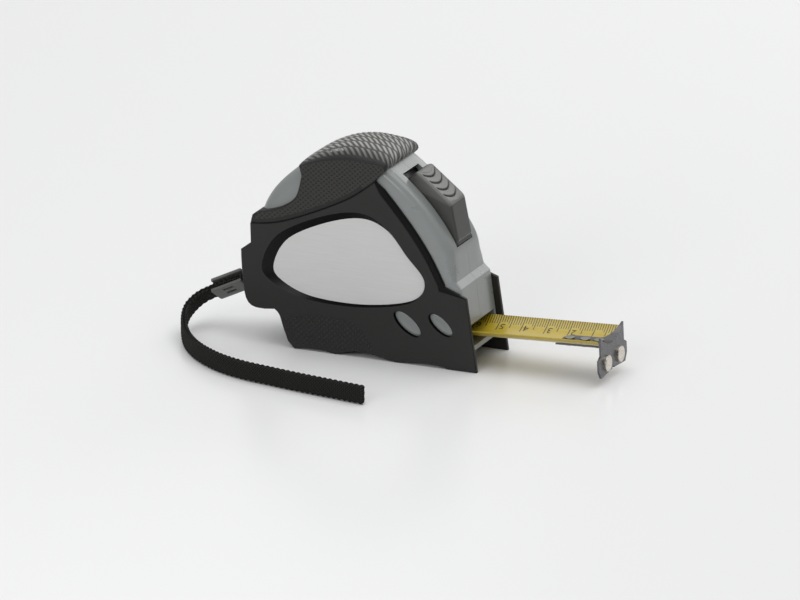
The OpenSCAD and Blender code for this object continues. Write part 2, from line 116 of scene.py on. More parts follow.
def finish(name, **sockets):
    """A new material whose one surface shader has these constants on its own sockets."""
    material = bpy.data.materials.new(name)
    material.use_nodes = True
    tree = material.node_tree
    shader = tree.nodes["Principled BSDF"]
    for key, value in sockets.items():
        shader.inputs[key.replace("_", " ")].default_value = value
    return material, tree, shader


def drive(tree, shader, **outputs):
    """Links sockets of the surface shader, by name, to the first output of these nodes."""
    for key, node in outputs.items():
        tree.links.new(node.outputs[0], shader.inputs[key.replace("_", " ")])


merge_within = 2e-6  # metres


def weld(mesh):
    """Merges the points that lie on each other and turns every face outwards."""
    soup = bmesh.new()
    soup.from_mesh(mesh)
    bmesh.ops.remove_doubles(soup, verts=soup.verts, dist=merge_within)
    bmesh.ops.recalc_face_normals(soup, faces=soup.faces)
    soup.to_mesh(mesh)
    soup.free()


def put(name, points, faces, body, stands_for, material, sharp=30, uv=None, round_edges=0, inlay=None):
    """Makes a piece from points in millimetres, shades it smooth up to the sharp angle, rounds its sharp edges
    by round_edges, and gives it its body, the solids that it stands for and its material. An inlay is a
    second material, for the faces whose middle lies between two distances from the middle plane."""
    mesh = bpy.data.meshes.new(name)
    mesh.from_pydata((np.asarray(points, float) / 1000).tolist(), [], [[int(i) for i in f] for f in faces])
    if uv is not None:
        at = np.zeros(len(mesh.loops), np.int32)
        mesh.loops.foreach_get("vertex_index", at)
        mesh.uv_layers.new(name="surface").data.foreach_set("uv", np.asarray(uv, np.float32)[at].ravel())
    weld(mesh)
    mesh.polygons.foreach_set("use_smooth", np.ones(len(mesh.polygons), bool))
    mesh.set_sharp_from_angle(angle=math.radians(sharp))
    mesh.materials.append(material)
    if inlay:
        mesh.materials.append(inlay[0])
        for face in mesh.polygons:
            face.material_index = int(inlay[1] < abs(face.center.y) * 1000 < inlay[2])
    piece = bpy.data.objects.new(name, mesh)
    bpy.context.scene.collection.objects.link(piece)
    if round_edges:
        bevel = piece.modifiers.new("rounded_edges", "BEVEL")
        bevel.width, bevel.segments = round_edges / 1000, 2
        bevel.limit_method, bevel.angle_limit = "ANGLE", math.radians(max(sharp, 28))
        bevel.harden_normals = True
    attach(piece, body)
    if stands_for:
        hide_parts(*stands_for)
    return piece


# The webbing's route from the pin inside the case: x, y, z, and the roll of its width, 0 flat and 90 on edge.
strap_route = [
    (-36.3, 0, 21.6, 0), (-44, 0, 21.2, 10), (-50, 0, 20.2, 36), (-56.6, 0, 17.2, 47), (-63.2, 0, 13.8, 47),
    (-67, -2.5, 12, 60), (-69.3, -7, 10, 76), (-69.8, -13.5, 7.7, 86), (-67.3, -21.5, 5.4, 90),
    (-62, -31, 3.9, 90), (-55.5, -39.6, 3.85, 90), (-49, -46, 3.85, 90), (-41, -51.8, 3.85, 90),
    (-33, -56, 3.85, 90), (-24, -59, 3.85, 90), (-13, -61.2, 3.85, 90), (0, -63.6, 3.85, 90),
    (15, -65.8, 3.85, 90), (29, -67.9, 3.85, 90),
]
strap_width, ply_thick, ply_apart = 7.4, 1.1, 1.24


def strap_frame(step):
    """The strap's centreline cut into equal steps: points, direction, width direction and normal. The width
    is the level direction across the line, rolled about the line, and the normal is at right angles to both."""
    fine = run(strap_route, 40)
    along = np.concatenate([[0], np.cumsum(np.linalg.norm(np.diff(fine[:, :3], axis=0), axis=1))])
    even = np.linspace(0, along[-1], int(along[-1] / step) + 1)
    line = np.stack([np.interp(even, along, fine[:, k]) for k in range(4)], -1)
    heading = np.gradient(line[:, :3], axis=0)
    heading /= np.linalg.norm(heading, axis=1)[:, None]
    level = np.stack([-heading[:, 1], heading[:, 0], 0 * even], -1)
    level /= np.linalg.norm(level, axis=1)[:, None]
    roll = np.radians(line[:, 3])[:, None]
    width = np.cos(roll) * level + np.sin(roll) * np.cross(heading, level)
    return even, line[:, :3], heading, width, np.cross(heading, width)


strap_step = 0.3
even, line, heading, width, normal = strap_frame(strap_step)
turn = np.radians(np.arange(-75, 90, 15))[:, None]
ply_path = np.vstack([
    line - normal * ply_apart / 2,
    line[-1] + ply_apart / 2 * (np.sin(turn) * normal[-1] + np.cos(turn) * heading[-1]),
    (line + normal * ply_apart / 2)[::-1],
])
ply_normal = np.vstack([-normal, np.sin(turn) * normal[-1] + np.cos(turn) * heading[-1], normal[::-1]])
ply_width = np.vstack([width, np.repeat(width[-1:], len(turn), 0), width[::-1]])
ply_along = np.concatenate([[0], np.cumsum(np.linalg.norm(np.diff(ply_path, axis=0), axis=1))])
face_cols = np.linspace(-0.88, 0.88, 13)
across = np.concatenate([[-1, -0.97], face_cols, [0.97, 1, 0.97], face_cols[::-1], [-0.97]])
through = np.concatenate([[0, 0.7], np.ones(13), [0.7, 0, -0.7], -np.ones(13), [-0.7]])
# The edges curve in by 0.2 mm between the weft's turns, and the yarns stand up in a chequer of cells, 1.2 mm
# along the strap by 1.3 mm across it and 0.3 mm high.
weft_pitch, scallop_deep, cell_high, cells_across = 2.4, 0.2, 0.26, 1.4
scallop = strap_width / 2 - scallop_deep + scallop_deep * np.cos(2 * np.pi * ply_along / weft_pitch)
cell_wave = np.sin(2 * np.pi * ply_along / weft_pitch)[:, None]
cells = 1 + cell_high * cell_wave * np.sin(cells_across * 2 * np.pi * across)[None]
ply_points = (
    ply_path[:, None]
    + scallop[:, None, None] * across[None, :, None] * ply_width[:, None]
    + ply_thick / 2 * (cells * through[None])[..., None] * ply_normal[:, None]
)
ply_uv = np.stack(np.broadcast_arrays(ply_along[:, None], scallop[:, None] * across[None]), -1)
webbing, tree, shader = finish(
    "webbing_woven_polyester", Base_Color=linear("#0e0e0d"), Roughness=0.85, IOR=1.5, Specular_IOR_Level=0.2,
)
# Herringbone: diagonal yarns 1.1 mm apart that turn back at the middle line, coarser than real yarn so that
# they show, over cross ribs 0.9 mm apart.
place = add(tree, "UVMap", uv_map="surface")
split = add(tree, "SeparateXYZ", {0: place})
side = add(tree, "Math", {0: split.outputs[1]}, operation="ABSOLUTE")
slant = add(tree, "Math", {0: split, 1: side}, operation="ADD")
yarn_pitch, rib_pitch = 1.1, 0.9
yarn = add(tree, "Math", {0: slant, 1: 2 * math.pi / yarn_pitch}, operation="MULTIPLY")
yarn = add(tree, "Math", {0: yarn}, operation="SINE")
rib = add(tree, "Math", {0: split, 1: 2 * math.pi / rib_pitch}, operation="MULTIPLY")
rib = add(tree, "Math", {0: rib}, operation="SINE")
weave = add(tree, "Math", {0: rib, 1: 0.3, 2: yarn}, operation="MULTIPLY_ADD")
shade = add(tree, "MapRange", {0: weave, 1: -1.2, 2: 1.2, 3: 0, 4: 1})
# The yarn is black: the crests of the weave are painted lighter as a painted sheen, and the hollows between them
# darker as painted shade.
tone = add(tree, "MixRGB", {0: shade, 1: linear("#040404"), 2: linear("#2c2c29")})
bump = add(tree, "Bump", {"Height": shade, "Distance": 0.00022, "Strength": 0.9})
drive(tree, shader, Base_Color=tone, Normal=bump)
strap = put(
    "wrist_strap_webbing", ply_points.reshape(-1, 3), tube(len(ply_path), len(across)), "case", ["wrist_strap"],
    webbing, sharp=60, uv=ply_uv.reshape(-1, 2),
)

# ---- Strap clip ----
# A strip of dark grey nylon folded round the strap and closed along its lower edge, with narrow slots cut
# through it. It keeps the two plies together just behind the case.
clip_long, clip_plate, clip_wide, clip_half_gap, clip_roll = 14.2, 1.35, 7.5, 1.72, np.radians(44)
route_points = np.array(strap_route)[:, :3]
clip_mid = (2 * route_points[3] + route_points[2] + route_points[4]) / 4
clip_along = (route_points[4] - route_points[2]) / np.linalg.norm(route_points[4] - route_points[2])
level = np.array([-clip_along[1], clip_along[0], 0]) / np.hypot(*clip_along[:2])
clip_across = np.cos(clip_roll) * level + np.sin(clip_roll) * np.cross(clip_along, level)
clip_out = np.cross(clip_along, clip_across)


def folded_strip(reach, fold, radius, steps):
    """The middle line of a strip folded in half, as (across, out) pairs: straight from reach to the fold's
    centre, round a half circle, and straight back."""
    flat = np.linspace(reach, fold, steps)
    arc = np.radians(np.linspace(90, 270, 13))[1:-1]
    near = np.stack([flat, np.full(steps, -radius)], -1)
    bend = np.stack([fold + radius * np.cos(arc), -radius * np.sin(arc)], -1)
    return np.vstack([near, bend, near[::-1] * [1, -1]])


clip_line = folded_strip(clip_wide / 2 + 0.3, -1.9, clip_half_gap + clip_plate / 2, 13)
clip_cells = 40
clip_cols = np.linspace(-clip_long / 2, clip_long / 2, clip_cells + 1)
clip_grid = (
    clip_mid + clip_line[:, None, :1] * clip_across + clip_line[:, None, 1:] * clip_out
    + clip_cols[None, :, None] * clip_along
)
# The slots are two cells high and 4 mm long: two in the near plate and one in the far plate.
row, col = np.divmod(np.arange((len(clip_line) - 1) * clip_cells), clip_cells)
slot_span = (col >= 14) & (col < 26)
near_slots = (((row >= 3) & (row < 5)) | ((row >= 8) & (row < 10))) & slot_span
far_slot = (row >= len(clip_line) - 7) & (row < len(clip_line) - 5) & slot_span
nylon, tree, shader = finish("clip_moulded_nylon", Base_Color=linear("#5e5e5c"), Roughness=0.42, IOR=1.53)
# Moulded nylon has a fine even grain, drawn 0.5 mm across, and is a little shinier where it is handled.
place = add(tree, "TexCoord")
grain = add(tree, "TexNoise", {"Vector": place.outputs["Object"], "Scale": 2000, "Detail": 2})
gloss = add(tree, "MapRange", {0: grain, 3: 0.34, 4: 0.52})
bump = add(tree, "Bump", {"Height": grain, "Distance": 0.00004})
drive(tree, shader, Roughness=gloss, Normal=bump)
clip = put(
    "strap_clip_folded", clip_grid.reshape(-1, 3), quads(len(clip_line), clip_cells + 1)[~(near_slots | far_slot)],
    "case", ["strap_clip"], nylon,
)
wall = clip.modifiers.new("plate", "SOLIDIFY")
wall.thickness, wall.offset = clip_plate / 1000, 0
edge = clip.modifiers.new("rounded_edges", "BEVEL")
edge.width, edge.segments, edge.limit_method, edge.angle_limit = 0.0003, 2, "ANGLE", math.radians(40)
edge.harden_normals = True

# ---- Case ----
# Two injection-moulded halves in grey ABS, polished on their rim and screwed together on the middle plane.
# The rim is softly rounded in front, square round the mouth, and domed at the rear where it shows as a window.
inner_half, case_half, cover_half = 12.9, 14.7, 16.6


def inset(outline, depth):
    """A counter-clockwise outline moved inwards: each point goes along the mean of its two edges' inward
    normals, far enough that both edges move by the depth, which may differ from point to point."""
    p = np.asarray(outline, float)
    edge = np.roll(p, -1, 0) - p
    n = np.stack([-edge[:, 1], edge[:, 0]], -1) / np.linalg.norm(edge, axis=1)[:, None]
    m = np.roll(n, 1, 0)
    return p + np.reshape(depth, (-1, 1)) * (m + n) / (1 + (m * n).sum(1))[:, None]


def cap(outlines, y):
    """Fills the flat area inside the first outline and outside the others: points at y, and triangles."""
    rings = [[Vector((x, z, 0)) for x, z in ring] for ring in outlines]
    flat = np.vstack(outlines)
    return np.stack([flat[:, 0], np.full(len(flat), y), flat[:, 1]], -1), tessellate_polygon(rings)


def stack(outline, depth, y):
    """Rings of one outline, one for each row: the row's depth inwards, at the row's y."""
    rings = [inset(outline, d) for d in depth]
    y = np.broadcast_to(np.reshape(y, (len(depth), -1)), (len(depth), len(outline)))
    return np.concatenate([np.stack([r[:, 0], h, r[:, 1]], -1) for r, h in zip(rings, y)])


def joined(*parts):
    """Puts several (points, faces) pairs into one."""
    start = np.cumsum([0] + [len(p) for p, f in parts])
    faces = [tuple(int(i) + s for i in f) for s, (p, fs) in zip(start, parts) for f in fs]
    return np.vstack([p for p, f in parts]), faces


def lofted(outlines, heights, first=True, last=True):
    """Walls between outlines of as many points, each at its own y, with a flat face over the first and over the
    last where it is wanted."""
    walls = np.concatenate([np.insert(ring, 1, y, axis=1) for ring, y in zip(outlines, heights)])
    parts = [(walls, quads(len(outlines), len(outlines[0]), around=True))]
    parts += [cap([outlines[0]], heights[0])] if first else []
    parts += [cap([outlines[-1]], heights[-1])] if last else []
    return joined(*parts)


case_steps = 8
case_front = run([
    (45.3, 34.8), (44.6, 40), (43, 47), (39, 54), (33.2, 61.6), (26.5, 68.6), (20, 74), (13.5, 78.4), (7, 81.4),
    (0, 82.8), (-7, 81.8), (-14, 78.2), (-20.5, 74.4), (-26.5, 69.6), (-32, 64.1), (-36, 58.2), (-38.4, 52),
    (-39, 46),
], case_steps)
# The blade and the case's underside rise together towards the mouth.
tilt = math.radians(2.7)
mouth_x, mouth_foot, heel_x = 51.3, 6.8, -22.6
case_outline = np.vstack([
    [(mouth_x, mouth_foot), (51.03, 8.75), (49.89, 17.05), (47.6, 32.5)], case_front,
    [(-39, 30), (-39, 21), (-37.2, 17.8), (-31.5, 17.2), (-29.3, 14.5), (-27.4, 9.5), (-25.4, 6),
     (heel_x, mouth_foot - (mouth_x - heel_x) * math.tan(tilt))],
])
cols = len(case_outline)
# The lock's slot runs from the third to the seventh knot of the front. The rim's rounding is given by columns.
slot_from, slot_to = 4 + 2 * case_steps, 4 + 6 * case_steps
round_knots = ([0, 3, 5, 14, 60, 92, 100, 132, 141, cols], [0.5, 0.5, 1.6, 3.6, 3.6, 3.6, 5.6, 5.6, 1, 0.8])
radius = np.interp(np.arange(cols), *round_knots)
bow = np.radians([0, 15, 30, 45, 60, 75, 90])[:, None]
# Rows of the rim, from the inner face to the middle plane and back out: the wall, then the fine V of the parting
# line, then the outer face and its rounding. The mouth is 25 mm wide and the slot 15 mm.
rim_wall, parting_deep, mouth_half, thumb_half = 2.0, 0.07, 12.5, 7.5
inner_rows = [[-inner_half], [-mouth_half], [-thumb_half], [-0.01]]
groove_rows = [[-0.01], [-0.06], [-thumb_half]]
rows_depth = [*[rim_wall] * 4, parting_deep, 0.0, 0.0, 0.0, *(radius * (1 - np.cos(bow)))]
rows_y = np.vstack([
    np.repeat(inner_rows + groove_rows, cols, 1),
    np.maximum(-mouth_half, -(case_half - radius))[None],
    -(case_half - radius) - radius * np.sin(bow),
])
rim = stack(case_outline, [np.broadcast_to(d, cols) for d in rows_depth], rows_y)
faces = quads(len(rows_depth), cols, around=True)
row, col = np.divmod(np.arange(len(faces)), cols)
in_slot = (row >= 2) & (row < 6) & (col >= slot_from) & (col < slot_to)
in_mouth = (row >= 1) & (row < 7) & (col == 1)
slot_cols = np.arange(slot_from, slot_to)
slot_wall = np.stack([r * cols + slot_cols + c for r, c in ((2, 0), (2, 1), (6, 1), (6, 0))], -1)
openings = [
    *slot_wall, [cols + 1, cols + 2, 7 * cols + 2, 7 * cols + 1],
    *[[r * cols + c for r in range(2, 7)] for c in (slot_from, slot_to)],
    *[[r * cols + c for r in range(1, 8)] for c in (1, 2)],
]
half_shell = joined(
    (rim, [*faces[~(in_slot | in_mouth)], *openings]),
    cap([inset(case_outline, rim_wall)], -inner_half), cap([inset(case_outline, radius)], -case_half),
)


def ellipse(x, z, long, short, slope, more=0.0):
    """A slanted ellipse with its centre, half axes and slope in degrees, enlarged all round by more."""
    a = np.radians(np.arange(0, 360, 6))
    p, q, t = (long + more) * np.cos(a), (short + more) * np.sin(a), math.radians(slope)
    return np.stack([x + p * math.cos(t) - q * math.sin(t), z + p * math.sin(t) + q * math.cos(t)], -1)


# Two oval bosses stand out of each half and show through the holes of the side cover, slightly crowned.
ovals = [(25.8, 16.3, 6.9, 3.1, -38), (39.8, 17.6, 6.1, 2.8, -38)]
boss_rows = [(-0.4, -14.6), (-0.4, -15.15), (-0.52, -15.38), (-0.85, -15.5), (-1.5, -15.58)]
bosses = [lofted([ellipse(*oval, more=m) for m, y in boss_rows], [y for m, y in boss_rows]) for oval in ovals]

abs_grey, tree, shader = finish(
    "case_polished_abs", Base_Color=linear("#7d8180"), Roughness=0.3, IOR=1.54, Coat_Weight=0.35, Coat_Roughness=0.16,
)
# ABS from a polished mould: a slow waviness 9 mm across bends the reflections, and handling has left
# patches that are a little duller.
place = add(tree, "TexCoord")
wave = add(tree, "TexNoise", {"Vector": place.outputs["Object"], "Scale": 110, "Detail": 1})
patch = add(tree, "TexNoise", {"Vector": place.outputs["Object"], "Scale": 60, "Detail": 5, "Roughness": 0.65})
gloss = add(tree, "MapRange", {0: patch, 1: 0.35, 2: 0.7, 3: 0.27, 4: 0.34})
tone = add(tree, "MixRGB", {0: patch, 1: linear("#7f8382"), 2: linear("#868a89")})
bump = add(tree, "Bump", {"Height": wave, "Distance": 0.00015, "Strength": 0.6})
drive(tree, shader, Roughness=gloss, Base_Color=tone, Normal=bump)
for hand, node_name in ((1, "case_left"), (-1, "case_right")):
    points, faces = joined(half_shell, *bosses)
    put(node_name + "_shell", points * [1, hand, 1], faces, "case", [node_name], abs_grey, sharp=32,
        round_edges=0.28)

# ---- Screws, centre post and reel ----
# Zinc-plated screws and a steel post hold the reel. The reel's drum and lid are natural acetal, the spring is
# blued steel strip, and the stored blade shows as a ring of fine turns.
zinc, tree, shader = finish("zinc_plated_steel", Base_Color=linear("#a9aaa8"), Metallic=1.0, Roughness=0.32)
place = add(tree, "TexCoord")
turned = add(tree, "TexNoise", {"Vector": place.outputs["Object"], "Scale": 900, "Detail": 2})
gloss = add(tree, "MapRange", {0: turned, 3: 0.24, 4: 0.42})
drive(tree, shader, Roughness=gloss)
acetal, tree, shader = finish("reel_acetal", Base_Color=linear("#d8d6cf"), Roughness=0.45, IOR=1.48)
place = add(tree, "TexCoord")
grain = add(tree, "TexNoise", {"Vector": place.outputs["Object"], "Scale": 1200, "Detail": 2})
bump = add(tree, "Bump", {"Height": grain, "Distance": 0.00003})
drive(tree, shader, Normal=bump)
blued, tree, shader = finish("blued_spring_steel", Base_Color=linear("#5d6266"), Metallic=1.0, Roughness=0.28)
place = add(tree, "TexCoord")
streak = add(tree, "TexNoise", {"Vector": place.outputs["Object"], "Scale": 500, "Detail": 3})
tone = add(tree, "MixRGB", {0: streak, 1: linear("#4c545d"), 2: linear("#76736b")})
drive(tree, shader, Base_Color=tone)
wound, tree, shader = finish("wound_blade_edges", Base_Color=linear("#a9962f"), Roughness=0.42, IOR=1.5)
# The coil's flat sides show the edges of its turns, 0.18 mm apart, drawn here 0.5 mm apart round the reel's axis,
# which lies 45 mm high.
reel_high, turn_pitch = 0.045, 0.0005
place = add(tree, "TexCoord")
shift = add(tree, "Mapping", {"Vector": place.outputs["Object"], "Location": (0, 0, -reel_high), "Scale": (1, 0, 1)})
span = add(tree, "VectorMath", {0: shift}, operation="LENGTH")
ripple = add(tree, "Math", {0: span.outputs["Value"], 1: 2 * math.pi / turn_pitch}, operation="MULTIPLY")
ripple = add(tree, "Math", {0: ripple}, operation="SINE")
shade = add(tree, "MapRange", {0: ripple, 1: -1, 2: 1, 3: 0, 4: 1})
tone = add(tree, "MixRGB", {0: shade, 1: linear("#6a5d1d"), 2: linear("#bca93a")})
drive(tree, shader, Base_Color=tone)
for node_name, material in (
    ("case_screws", zinc), ("centre_screw", zinc), ("centre_post", zinc), ("strap_pin", zinc), ("reel_drum", acetal),
    ("spring_cover", acetal), ("power_spring", blued), ("blade_coil", wound),
):
    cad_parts[node_name].data.materials.clear()
    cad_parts[node_name].data.materials.append(material)

# ---- Blade ----
# Spring-steel strip, curved across so that it stands out stiff, lacquered yellow on both faces. The top face is
# printed in black with millimetres from the far edge and a second row of figures along the near one.
blade_low, blade_out, blade_in, arc_r, blade_t, blade_half = 10.7, 53.0, 20.0, 17.2, 0.3, 12.5


def along_blade(p):
    """Points in the blade's own frame, x along it from the mouth and z up from its lowest line, turned up by
    the blade's tilt and moved to the mouth."""
    p = np.asarray(p, float)
    x, y, z = p[..., 0], p[..., 1], p[..., 2]
    c, s = math.cos(tilt), math.sin(tilt)
    return np.stack([mouth_x + c * x - s * z, y, blade_low + s * x + c * z], -1)


def on_arc(x, arc, height):
    """A point of the curved strip: x along it, arc millimetres from its middle line round a cylinder about an
    axis above it, and height above the underside."""
    r = arc_r + blade_t - height
    x, arc, r = np.broadcast_arrays(x, arc / arc_r, r)
    return np.stack([x, r * np.sin(arc), arc_r + blade_t - r * np.cos(arc)], -1)


stations, arc_points, arc_reach = 150, 41, blade_half - 0.05
span_x = np.linspace(-blade_in, blade_out - 0.35, stations)
loop_arc = np.linspace(-arc_reach, arc_reach, arc_points)
loop_arc = np.concatenate([loop_arc, np.linspace(arc_reach, -arc_reach, arc_points)])
loop_high = np.repeat([blade_t, 0.0], arc_points)
sheet = along_blade(on_arc(span_x[:, None], loop_arc[None], loop_high[None]))
printed_v = loop_arc + 100 * (loop_high == 0)
sheet_uv = np.stack(np.broadcast_arrays(blade_out - span_x[:, None], printed_v[None]), -1)
lacquer, tree, shader = finish(
    "blade_yellow_lacquer", Base_Color=linear("#cbb63c"), Roughness=0.3, IOR=1.5, Coat_Weight=0.4,
    Coat_Roughness=0.16,
)
# The print: a line each millimetre, 4.4 mm long from the far edge, longer each 5 mm and longest each 10 mm,
# and cut short where a figure stands. U counts millimetres from the hook, V from the blade's middle line, with
# 100 more on the underside, where nothing is printed.
place = add(tree, "UVMap", uv_map="surface")
split = add(tree, "SeparateXYZ", {0: place})
from_edge = add(tree, "Math", {0: blade_half, 1: split.outputs[1]}, operation="SUBTRACT")
ink = None
for pitch, reach, half_line in ((1, 4.4, 0.15), (5, 6.4, 0.17), (10, 8.4, 0.19)):
    near = add(tree, "Math", {0: split, 1: pitch / 2}, operation="PINGPONG")
    on_line = add(tree, "Math", {0: near, 1: half_line}, operation="LESS_THAN")
    inside = add(tree, "Math", {0: from_edge, 1: reach}, operation="LESS_THAN")
    mark = add(tree, "Math", {0: on_line, 1: inside}, operation="MULTIPLY")
    ink = mark if ink is None else add(tree, "Math", {0: ink, 1: mark}, operation="MAXIMUM")
on_top = add(tree, "Math", {0: split.outputs[1], 1: 20}, operation="LESS_THAN")
ink = add(tree, "Math", {0: ink, 1: on_top}, operation="MULTIPLY")
figure_from, figure_to, figure_in = 6.6, 9.6, 3.4
within = add(tree, "Math", {0: split, 1: 10}, operation="MODULO")
after = add(tree, "Math", {0: within, 1: figure_from}, operation="GREATER_THAN")
before = add(tree, "Math", {0: within, 1: figure_to}, operation="LESS_THAN")
deep = add(tree, "Math", {0: from_edge, 1: figure_in}, operation="GREATER_THAN")
spared = add(tree, "Math", {0: after, 1: before}, operation="MULTIPLY")
spared = add(tree, "Math", {0: spared, 1: deep}, operation="MULTIPLY")
kept = add(tree, "Math", {0: 1.0, 1: spared}, operation="SUBTRACT")
ink = add(tree, "Math", {0: ink, 1: kept}, operation="MULTIPLY")
spots = add(tree, "TexCoord")
rub = add(tree, "TexNoise", {"Vector": spots.outputs["Object"], "Scale": 260, "Detail": 4, "Roughness": 0.7})
yellow = add(tree, "MixRGB", {0: rub, 1: linear("#ac9526"), 2: linear("#bfa932")})
tone = add(tree, "MixRGB", {0: ink, 1: yellow, 2: linear("#2c2712")})
gloss = add(tree, "MapRange", {0: rub, 3: 0.22, 4: 0.42})
drive(tree, shader, Base_Color=tone, Roughness=gloss)
put(
    "blade_strip", sheet.reshape(-1, 3), tube(stations, 2 * arc_points), "blade", ["blade"], lacquer,
    sharp=50, uv=sheet_uv.reshape(-1, 2),
)

# Printed figures in a row along either edge: thin black ink, each on the hook's side of its centimetre line.
ink_black, tree, shader = finish("printing_ink", Base_Color=linear("#2a2511"), Roughness=0.4, IOR=1.5)
place = add(tree, "TexCoord")
thin = add(tree, "TexNoise", {"Vector": place.outputs["Object"], "Scale": 1500, "Detail": 2})
tone = add(tree, "MixRGB", {0: thin, 1: linear("#1d190b"), 2: linear("#403815")})
drive(tree, shader, Base_Color=tone)


def figure(name, text, from_hook, arc, tall):
    """A printed number laid on the curved top face: the lettering's own x and y become the distance along the
    blade and the arc across it, both reversed, because it is read from the far side."""
    letters = bpy.data.curves.new(name, "FONT")
    letters.body, letters.size = text, tall * 1.4
    letters.align_x, letters.align_y = "CENTER", "CENTER"
    maker = bpy.data.objects.new(name + "_outline", letters)
    bpy.context.scene.collection.objects.link(maker)
    mesh = bpy.data.meshes.new_from_object(maker.evaluated_get(bpy.context.evaluated_depsgraph_get()))
    bpy.data.objects.remove(maker)
    co = np.zeros(len(mesh.vertices) * 3, np.float32)
    mesh.vertices.foreach_get("co", co)
    flat = -co.reshape(-1, 3)[:, :2]
    faces = [list(p.vertices) for p in mesh.polygons]
    points = along_blade(on_arc(blade_out - from_hook + flat[:, 0], arc + flat[:, 1], blade_t + 0.03))
    bpy.data.meshes.remove(mesh)
    return put(name, points, faces, "blade", [], ink_black, sharp=180)


# The far row stands 6.6 mm out from the middle line and is 3.3 mm tall, and the near row 10.1 mm and 3.6 mm.
for number in range(2, 8):
    figure(f"figure_far_{number}", str(number), 10 * number - 1.9, 6.6, 3.3)
    figure(f"figure_near_{number}", str(number), 10 * number - 1.5, -10.1, 3.6)

# ---- Hook ----
# The end hook is pressed from spring steel, blackened and brushed. It straddles the blade with a narrow nose,
# floats on three bright rivets, and carries two round nickel-plated magnets through its front plate.
blackened, tree, shader = finish("hook_blackened_steel", Base_Color=linear("#6e6e6f"), Metallic=1.0, Roughness=0.3)
place = add(tree, "TexCoord")
stretch = add(tree, "Mapping", {"Vector": place.outputs["Object"], "Scale": (260, 2600, 2600)})
brushed = add(tree, "TexNoise", {"Vector": stretch, "Scale": 1, "Detail": 3})
gloss = add(tree, "MapRange", {0: brushed, 1: 0.3, 2: 0.7, 3: 0.2, 4: 0.42})
tone = add(tree, "MixRGB", {0: brushed, 1: linear("#4c4c4f"), 2: linear("#747476")})
bump = add(tree, "Bump", {"Height": brushed, "Distance": 0.00003})
drive(tree, shader, Roughness=gloss, Base_Color=tone, Normal=bump)
nickel, tree, shader = finish("magnet_nickel_plate", Base_Color=linear("#cfc9be"), Metallic=1.0, Roughness=0.24)
place = add(tree, "TexCoord")
scuff = add(tree, "TexNoise", {"Vector": place.outputs["Object"], "Scale": 700, "Detail": 4})
gloss = add(tree, "MapRange", {0: scuff, 1: 0.35, 2: 0.7, 3: 0.16, 4: 0.42})
drive(tree, shader, Roughness=gloss)


def softened(node_name, body, material, width, sharp=30):
    """A merged copy of a solid's mesh with its flat faces whole again and its sharp edges rounded by width."""
    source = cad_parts[node_name]
    mesh = source.data.copy()
    soup = bmesh.new()
    soup.from_mesh(mesh)
    bmesh.ops.remove_doubles(soup, verts=soup.verts, dist=merge_within)
    bmesh.ops.dissolve_limit(soup, angle_limit=math.radians(1), verts=soup.verts, edges=soup.edges)
    points = np.array([v.co for v in soup.verts]) * 1000
    faces = [[v.index for v in f.verts] for f in soup.faces]
    soup.free()
    return put(node_name + "_softened", points, faces, body, [node_name], material, sharp=sharp,
               round_edges=width)


softened("hook_plate", "hook", blackened, 0.26)
softened("hook_backing", "hook", blackened, 0.15)
softened("hook_magnets", "hook", nickel, 0.3)
softened("hook_rivets", "blade", zinc, 0.16)

# ---- Side covers ----
# Each cover is a black ABS shell with a fine matt texture, clipped over the case. It carries the strap slot,
# the wavy foot and the front feet, a dished recess for the label and two oval holes for the case's bosses.
grip_line = run([(12, 72.3), (5.6, 67.2), (-0.5, 63.2), (-12.7, 57.2), (-24.8, 52.2), (-33, 49.9), (-41, 49)], 6)
foot_edge = run([
    (-22.4, 0), (-18, 0.8), (-14, 1.3), (-10, 0.9), (-5, 0), (0, 1.3), (6, 2.4), (13, 1.5), (20, 0), (26, 0.5),
    (32, 1.2), (38, 1), (43, 0),
], 6)
cover_front = run([(40.8, 34.4), (35.3, 44.6), (28.9, 53.9), (22.2, 62.1), (15.8, 69.3)], 8)
cover_rear = np.array([
    (-40.8, 41), (-45, 37.9), (-44.9, 34.5), (-44.7, 31), (-44.3, 26), (-43.6, 20.5), (-43, 18.2), (-42, 16.4),
    (-40.6, 15.3), (-38.6, 14.7), (-35, 14.6), (-30.8, 15.1), (-29.6, 14.2), (-28.6, 12.8), (-27.8, 10.4),
    (-26.9, 7.6), (-25, 2.6),
])
cover_outline = np.vstack([[(55, 0), (50.4, 29.5), (41.2, 33)], cover_front, grip_line, cover_rear, foot_edge])
label_knots = np.array([
    (-31, 33.6), (-24.8, 44.5), (-8.6, 52.9), (6.7, 56.4), (17.3, 52.6), (25.4, 43.3), (32.8, 34), (27.8, 26),
    (7.5, 21.8), (-15, 22.4), (-28.1, 27.6),
])
label_outline = run(label_knots, 10, closed=True)[::-1]
label_corner = np.array([33, 32])
recess_outline = inset(label_corner + [1.07, 1.09] * (label_outline - label_corner), -0.3)
heel_outline = np.vstack([
    [(-27, 12)], run([(-16.8, 15), (-7, 15.1), (1.1, 14.5), (6.4, 11.6), (9.6, 7.4), (11.2, 3.6)], 5),
    [(6, 3.4), (-4, 1.6), (-20, 2), (-23.6, 4)],
])[::-1]
